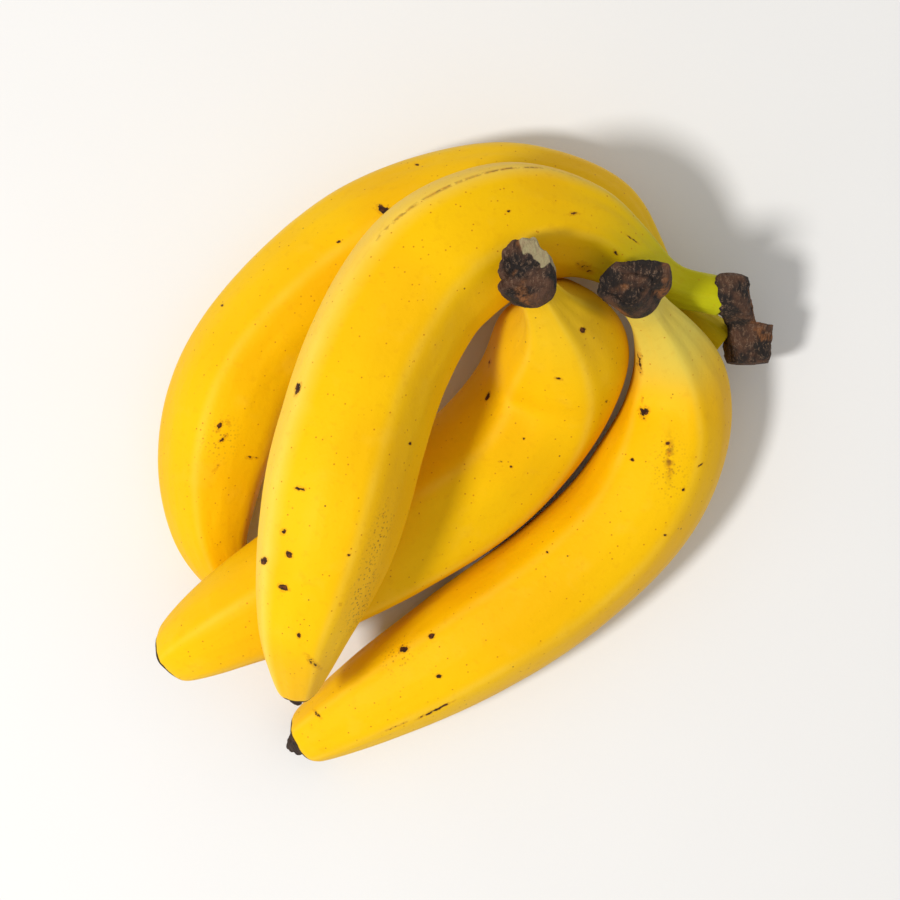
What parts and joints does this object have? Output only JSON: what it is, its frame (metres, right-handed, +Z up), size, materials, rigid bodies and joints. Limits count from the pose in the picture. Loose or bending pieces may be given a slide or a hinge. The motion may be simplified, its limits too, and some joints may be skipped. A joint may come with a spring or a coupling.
{
  "type": "bunch of bananas",
  "caption": "Bunch of ripe bananas lying on a surface: curved, ridged fingers side by side and one across them, with a dark dried crown and torn stalk ends.",
  "frame": {"origin": "on the surface that the bunch lies on, under the middle of its footprint", "axes": "+Z up; +X towards the crown side; +Y towards the outer finger's bend"},
  "size_m": [0.18, 0.1816, 0.0893],
  "materials": {
    "skin_outer": "satin",
    "skin_inner": "satin",
    "skin_right": "satin",
    "skin_top": "satin",
    "crown_bark": "rough"
  },
  "bodies": {
    "root": {"finger_outer": "skin_outer", "finger_inner": "skin_inner", "finger_right": "skin_right", "finger_top": "skin_top", "crown": "crown_bark", "torn_crown_inner": "crown_bark", "torn_crown_right": "crown_bark"}
  },
  "joints": []
}
